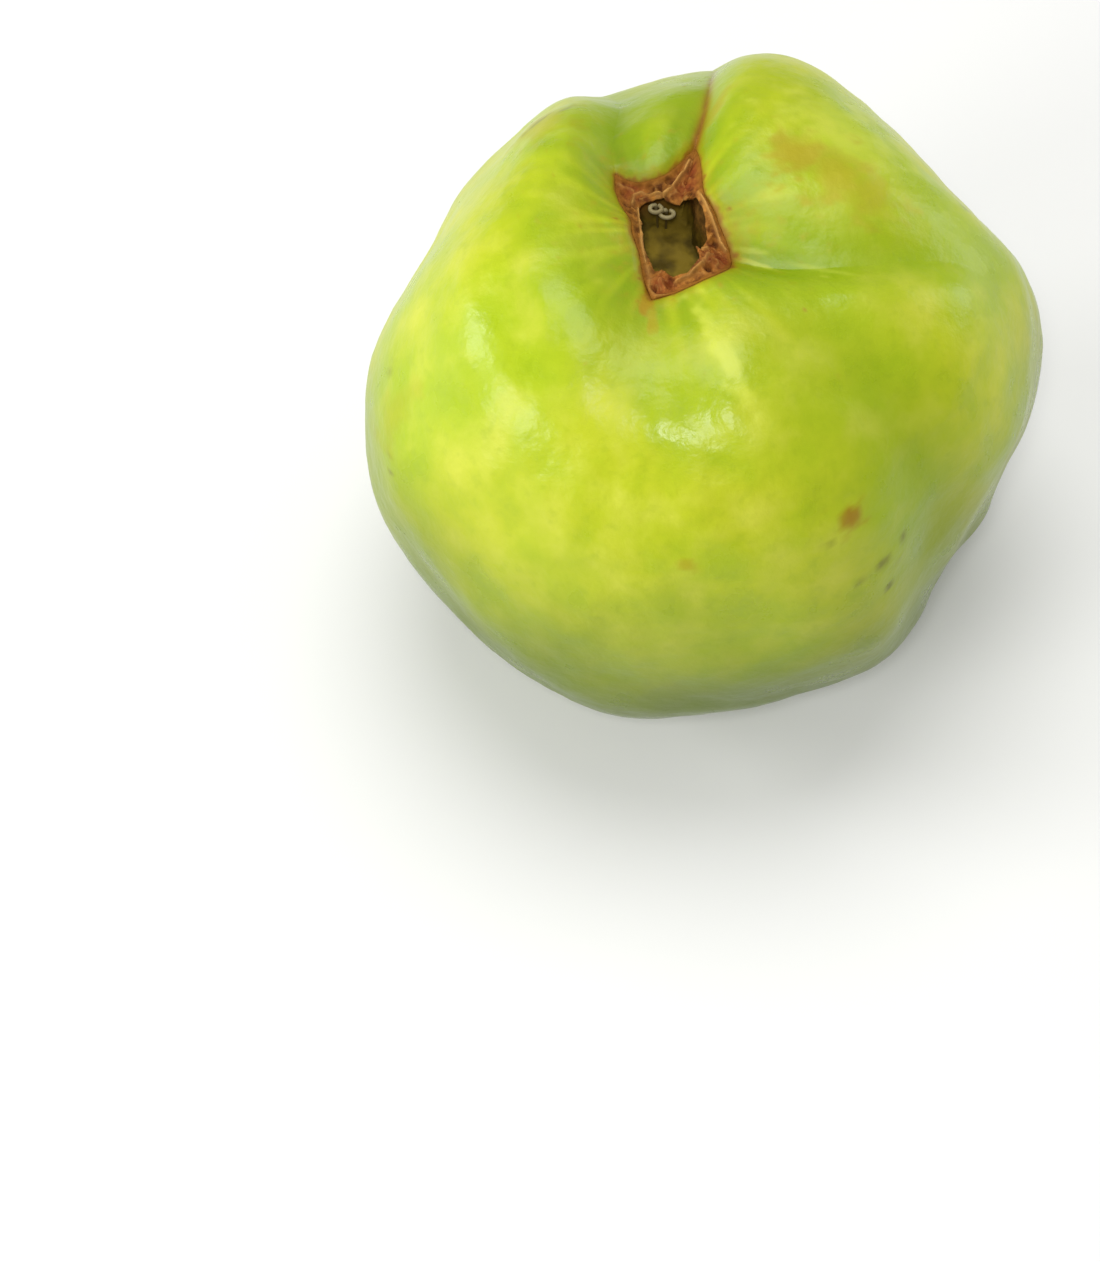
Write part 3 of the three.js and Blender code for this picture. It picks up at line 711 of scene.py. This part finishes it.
first_inside = len(rings) - INSIDE_ROWS - len(floor_ways)
wrinkled = rings[first_inside:] * (1, 1, WRINKLES["upright"])
fine_wrinkles = grain(wrinkled, WRINKLES["fine_size"])
rings[first_inside:, :, 2] += WRINKLES["broad"] * grain(wrinkled, WRINKLES["broad_size"])
rings[first_inside:, :, 2] += WRINKLES["fine"] * fine_wrinkles
inwards_only = 1 - WRINKLES["inwards"] * np.abs(fine_wrinkles)
rings[first_inside:, :, :2] = mixed(calyx_middle, rings[first_inside:, :, :2], inwards_only[..., None])

end_shelf = first_shelf + SHELF_ROWS
end_tan = end_shelf + TAN["bead_rows"]
crest, painted_hollow_shade, inside, rim, red = (np.zeros(rings.shape[:2]) for _ in range(5))
crest[first_shelf:end_shelf] = tan
crest[end_shelf:end_tan] = TAN["bead"] * tan[-1]
# Painted shade: darker in the crumples' dips, under the bead and down the cup.
painted_hollow_shade[first_shelf:end_shelf] = smooth(-rise, *PAINTED_HOLLOW_SHADE["dips"])
painted_hollow_shade[end_tan:first_inside] = PAINTED_HOLLOW_SHADE["under_bead"]
painted_hollow_shade[first_inside:] = PAINTED_HOLLOW_SHADE["cup"]
inside[end_tan:first_inside] = OLIVE["under_bead"]
inside[first_inside:] = np.clip(np.linspace(*OLIVE["cup"], len(rings) - first_inside), 0, 1)[:, None]
rim[:first_shelf] = 1
rim_wander = 1 + ORANGE["wander"] * grain(flat_places, ORANGE["size"])
rim[first_shelf:end_shelf] = 1 - smooth(to_rim * rim_wander, 0, ORANGE["reach"])
for patch in RED_PATCHES:
    reach_from = np.linalg.norm(rings[..., :2] - calyx_middle - patch["at"], axis=-1)
    red = np.maximum(red, bell(reach_from / patch["reach"]))
calyx = mesh_of_rings(
    "dried_calyx",
    rings,
    (*calyx_middle, hollow_floor + OUTER_GAP),
    floor_middle,
    {"crest": crest, "painted_hollow_shade": painted_hollow_shade, "inside": inside, "rim": rim, "red": red},
)

# Dried sepals: dead papery leaf, brown with a red tinge, matt and fibrous. Its outer edge is as orange as the
# skin beside it, its folded edges have bleached to tan, and the cup inside stays olive. Painted shade darkens
# its dips, the underside of its bead and the cup.
dried_sepal, tree, shader = new_material("dried papery sepal")
place = add_node(tree, "ShaderNodeTexCoord").outputs["Object"]
fibres = add_node(tree, "ShaderNodeTexNoise", {"Vector": place, "Scale": 1 / (0.9 * MM), "Detail": 5})
fibre_way = add_node(
    tree, "ShaderNodeMapRange", {"Value": fibres.outputs[0], "From Min": 0.35, "From Max": 0.68}
)
papery = add_node(
    tree,
    "ShaderNodeMix",
    {FACTOR: fibre_way.outputs[0], FROM: colour("#56300C"), TO: colour("#AC742E")},
    data_type="RGBA",
)
patches = add_node(tree, "ShaderNodeTexNoise", {"Vector": place, "Scale": 1 / (2.4 * MM), "Detail": 2})
patch_way = add_node(
    tree, "ShaderNodeMapRange", {"Value": patches.outputs[0], "From Min": 0.35, "From Max": 0.6}
)
cup_colour = add_node(
    tree,
    "ShaderNodeMix",
    {FACTOR: patch_way.outputs[0], FROM: colour("#4E400E"), TO: colour("#7C681C")},
    data_type="RGBA",
)
layered = papery.outputs[MIXED]
for attribute, layer_colour, most in (
    ("red", colour("#8A3C1A"), 0.65),
    ("rim", colour("#865614"), 0.75),
    ("painted_hollow_shade", colour("#3E220A"), 0.85),
    ("crest", colour("#BE8E4A"), 0.9),
    ("inside", cup_colour.outputs[MIXED], 1),
):
    amount = add_node(tree, "ShaderNodeAttribute", attribute_name=attribute)
    way = add_node(tree, "ShaderNodeMapRange", {"Value": amount.outputs["Fac"], "To Max": most})
    layer = add_node(
        tree,
        "ShaderNodeMix",
        {FACTOR: way.outputs[0], FROM: layered, TO: layer_colour},
        data_type="RGBA",
    )
    layered = layer.outputs[MIXED]
tree.links.new(layered, shader.inputs["Base Color"])
fibrous = add_node(
    tree, "ShaderNodeBump", {"Height": fibres.outputs[0], "Strength": 0.6, "Distance": 0.2 * MM}
)
tree.links.new(fibrous.outputs[0], shader.inputs["Normal"])
shader.inputs["Roughness"].default_value = 0.75
shader.inputs["Specular IOR Level"].default_value = 0.15
calyx.data.materials.append(dried_sepal)
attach(calyx, "root")
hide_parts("calyx")

# The stamens: two dried threads left from the flower. Each stands on the cup's floor and ends in a curl, and
# the two curls touch.
THREAD = {"thick": 0.25, "stem": 0.5, "stem_points": 5, "wobble": 0.05, "size": 0.8, "shifts": (0, 3, 7)}
CURL = {"reach": 0.72, "tilt": -16, "start": 90, "turn": 330, "points": 18}
STAMENS = [
    {"foot": (-0.4, 4.55), "curl": (-0.4, 4.15, 27.1), "flat": 1.1},
    {"foot": (-1.3, 4.45), "curl": (-1.62, 4.7, 27.3), "flat": 0.92},
]
threads = bpy.data.curves.new("curled_stamens", "CURVE")
threads.dimensions = "3D"
threads.bevel_depth = THREAD["thick"] * MM
threads.bevel_resolution = 5
threads.resolution_u = 6
threads.use_fill_caps = True
for stamen in STAMENS:
    middle = np.array([*(calyx_middle + stamen["curl"][:2]), stamen["curl"][2]])
    turns = np.radians(CURL["start"] + np.linspace(0, CURL["turn"], CURL["points"]))
    tilt = math.radians(CURL["tilt"])
    across = CURL["reach"] * np.cos(turns) * stamen["flat"]
    back = CURL["reach"] * np.sin(turns)
    curl = middle + np.column_stack([across, back * math.cos(tilt), back * math.sin(tilt)])
    foot = np.array([*(calyx_middle + stamen["foot"]), floor_middle[2]])
    stem = [mixed(foot, curl[0], way) for way in np.linspace(0, 1, THREAD["stem_points"])[:-1]]
    path = np.concatenate([stem, curl])
    path[1:-1] += THREAD["wobble"] * drift(path[1:-1], THREAD["size"], THREAD["shifts"])
    spline = threads.splines.new("NURBS")
    spline.points.add(len(path) - 1)
    for number, (point, spot) in enumerate(zip(spline.points, path)):
        point.co = (*((spot + MIDDLE) * MM), 1)
        point.radius = THREAD["stem"] if number < THREAD["stem_points"] - 1 else 1
    spline.order_u = 4
    spline.use_endpoint_u = True
stamens = bpy.data.objects.new("curled_stamens", threads)
bpy.context.scene.collection.objects.link(stamens)

# Dried filament: a cream thread, matt, a little browner in patches, and darker down at its stem, where shade
# painted into its colour makes it as dark as the shaded cup. The cream starts at one height over the widest
# ring and is full at another.
CREAM = (26.2, 26.9)
dried_thread, tree, shader = new_material("dried stamen thread")
place = add_node(tree, "ShaderNodeTexCoord").outputs["Object"]
patches = add_node(tree, "ShaderNodeTexNoise", {"Vector": place, "Scale": 1 / (0.8 * MM), "Detail": 3})
thread_colour = add_node(
    tree,
    "ShaderNodeMix",
    {FACTOR: patches.outputs[0], FROM: colour("#6A5A30"), TO: colour("#AEA274")},
    data_type="RGBA",
)
heights = add_node(tree, "ShaderNodeSeparateXYZ", {"Vector": place})
cream_from, cream_to = ((REST_DEPTH + height) * MM for height in CREAM)
stem_shade_way = add_node(
    tree,
    "ShaderNodeMapRange",
    {"Value": heights.outputs["Z"], "From Min": cream_from, "From Max": cream_to},
)
stem_shaded = add_node(
    tree,
    "ShaderNodeMix",
    {FACTOR: stem_shade_way.outputs[0], FROM: colour("#5A4A16"), TO: thread_colour.outputs[MIXED]},
    data_type="RGBA",
)
tree.links.new(stem_shaded.outputs[MIXED], shader.inputs["Base Color"])
shader.inputs["Roughness"].default_value = 0.7
stamens.data.materials.append(dried_thread)
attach(stamens, "root")
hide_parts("stamens")

# The stalk: the woody stub that the fruit hung by, snapped off short in its pit. Its fibres run along it and
# its broken face is paler.
STALK = {"root": 2.3, "waist": 1.9, "cut": 2.1, "edge": 0.4, "clear": 0.6, "columns": 72, "rows": 44}
CUT = {"middle": 0.05, "hollow": 0.15, "deepest": 0.2, "splinters": 0.25, "size": 0.8}
FIBRES = {"count": 11, "ridges": 0.05, "inwards": 0.06, "reach": 4, "size": 1.1}
cut_face = -REST_DEPTH + STALK["clear"]
stalk_root = socket_top - OUTER_GAP
profile = np.array([
    (CUT["middle"], cut_face + CUT["hollow"]),
    (STALK["cut"] - STALK["edge"], cut_face),
    (STALK["cut"], cut_face + STALK["edge"]),
    (STALK["waist"], PIT["depth"] - STALK_REACH),
    (STALK["root"], stalk_root - STALK["edge"]),
    (STALK["root"] - STALK["edge"], stalk_root),
    (CUT["middle"], stalk_root),
])
lengths = np.concatenate([[0], np.cumsum(np.linalg.norm(np.diff(profile, axis=0), axis=1))])
steps = np.linspace(0, lengths[-1], STALK["rows"])
reaches, heights = (np.interp(steps, lengths, profile[:, axis]) for axis in (0, 1))
turns = np.arange(STALK["columns"]) / STALK["columns"] * TURN
around = np.stack([np.cos(turns), np.sin(turns), np.zeros(len(turns))], axis=-1)
uneven = grain(around * FIBRES["reach"], FIBRES["size"])
ridges = FIBRES["ridges"] * (np.sin(FIBRES["count"] * turns) + uneven)
stalk_rings = reaches[:, None, None] * around * (1 + ridges - FIBRES["inwards"])[:, None]
stalk_rings[..., 2] = heights[:, None]
on_cut = (heights < cut_face + STALK["edge"]).astype(float)[:, None]
stalk_rings[..., 2] += CUT["splinters"] * on_cut * (0.5 + 0.5 * grain(stalk_rings, CUT["size"]))
stalk = mesh_of_rings(
    "stalk_stub",
    stalk_rings,
    (0, 0, cut_face + CUT["deepest"]),
    (0, 0, stalk_root),
    {"cut": np.broadcast_to(on_cut, stalk_rings.shape[:2])},
)

# Guava twig wood: grey-brown bark with fine cracks along it, and a paler broken face.
twig_wood, tree, shader = new_material("guava twig wood")
place = add_node(tree, "ShaderNodeTexCoord").outputs["Object"]
along_fibre = add_node(tree, "ShaderNodeMapping", {"Vector": place, "Scale": (1, 1, 0.2)})
cracks = add_node(
    tree, "ShaderNodeTexNoise", {"Vector": along_fibre.outputs[0], "Scale": 1 / (0.5 * MM), "Detail": 4}
)
bark = add_node(
    tree,
    "ShaderNodeMix",
    {FACTOR: cracks.outputs[0], FROM: colour("#43331E"), TO: colour("#8E7A52")},
    data_type="RGBA",
)
cut_share = add_node(tree, "ShaderNodeAttribute", attribute_name="cut")
wood = add_node(
    tree,
    "ShaderNodeMix",
    {FACTOR: cut_share.outputs["Fac"], FROM: bark.outputs[MIXED], TO: colour("#B49C6A")},
    data_type="RGBA",
)
tree.links.new(wood.outputs[MIXED], shader.inputs["Base Color"])
cracked = add_node(
    tree, "ShaderNodeBump", {"Height": cracks.outputs[0], "Strength": 0.6, "Distance": 0.2 * MM}
)
tree.links.new(cracked.outputs[0], shader.inputs["Normal"])
shader.inputs["Roughness"].default_value = 0.8
stalk.data.materials.append(twig_wood)
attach(stalk, "root")
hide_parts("stalk")

# The floor: a wide sheet of matt white card under the fruit
FLOOR_REACH = 3
floor_mesh = bpy.data.meshes.new("white_card")
floor_corners = [(x * FLOOR_REACH, y * FLOOR_REACH, 0) for x, y in ((-1, -1), (1, -1), (1, 1), (-1, 1))]
floor_mesh.from_pydata(floor_corners, [], [(0, 1, 2, 3)])
floor = bpy.data.objects.new("white_card", floor_mesh)
bpy.context.scene.collection.objects.link(floor)
white_card, tree, shader = new_material("matt white card")
shader.inputs["Base Color"].default_value = colour("#EAEAE8")
shader.inputs["Roughness"].default_value = 0.9
floor_mesh.materials.append(white_card)

# The light: soft daylight from all round, a large softbox overhead, two low ones at the left, one low at the
# right and a small one high in front
scene = bpy.context.scene
world = bpy.data.worlds.new("soft_daylight")
world.use_nodes = True
world.node_tree.nodes["Background"].inputs["Color"].default_value = (1, 1, 1, 1)
world.node_tree.nodes["Background"].inputs["Strength"].default_value = 0.3
scene.world = world
scene.view_settings.view_transform = "Standard"
LIGHTS = [
    {"name": "overhead_softbox", "towards": (-0.05, 0.25, 1.0), "away": 0.9, "size": 0.62, "watts": 4.3},
    {"name": "left_softbox", "towards": (-0.93, 0.08, 0.33), "away": 0.8, "size": 0.28, "watts": 2.1},
    {"name": "left_front_softbox", "towards": (-0.82, -0.47, 0.3), "away": 0.8, "size": 0.28, "watts": 2.5},
    {"name": "front_softbox", "towards": (-0.07, -0.5, 0.84), "away": 0.8, "size": 0.12, "watts": 1.9},
    {"name": "right_softbox", "towards": (0.85, 0.5, 0.25), "away": 0.9, "size": 0.5, "watts": 1.9},
]
body_middle = Vector(MIDDLE) * MM
for softbox in LIGHTS:
    lamp = bpy.data.lights.new(softbox["name"], "AREA")
    lamp.shape = "DISK"
    lamp.size = softbox["size"]
    lamp.energy = softbox["watts"]
    holder = bpy.data.objects.new(softbox["name"], lamp)
    towards = Vector(softbox["towards"]).normalized()
    holder.location = body_middle + towards * softbox["away"]
    holder.rotation_euler = towards.to_track_quat("Z", "Y").to_euler()
    scene.collection.objects.link(holder)

# The camera: it looks down on the fruit from the front. The body's middle lies right of and above the
# picture's middle, and at that distance each pixel of the 1100 by 1262 picture spans the stated width.
PICTURE = {"width": 1100, "height": 1262, "body_x": 703, "body_y": 385}
PIXEL = 0.1187
CAMERA = {"elevation": 57, "distance": 420, "sensor": 36}
off_x = (PICTURE["body_x"] - PICTURE["width"] / 2) * PIXEL
off_y = (PICTURE["height"] / 2 - PICTURE["body_y"]) * PIXEL
pitch = math.radians(CAMERA["elevation"]) + math.atan(off_y / CAMERA["distance"])
back = Vector((0, -math.cos(pitch), math.sin(pitch)))
up = Vector((0, math.sin(pitch), math.cos(pitch)))
aim = Vector(MIDDLE) - Vector((off_x, 0, 0)) - up * off_y
camera_data = bpy.data.cameras.new("camera")
camera_data.sensor_width = CAMERA["sensor"]
camera_data.lens = CAMERA["sensor"] * CAMERA["distance"] / PIXEL / PICTURE["height"]
camera_data.clip_start = 0.01
camera = bpy.data.objects.new("camera", camera_data)
camera.location = (aim + back * CAMERA["distance"]) * MM
camera.rotation_euler = back.to_track_quat("Z", "Y").to_euler()
scene.collection.objects.link(camera)
scene.camera = camera

bpy.context.view_layer.update()
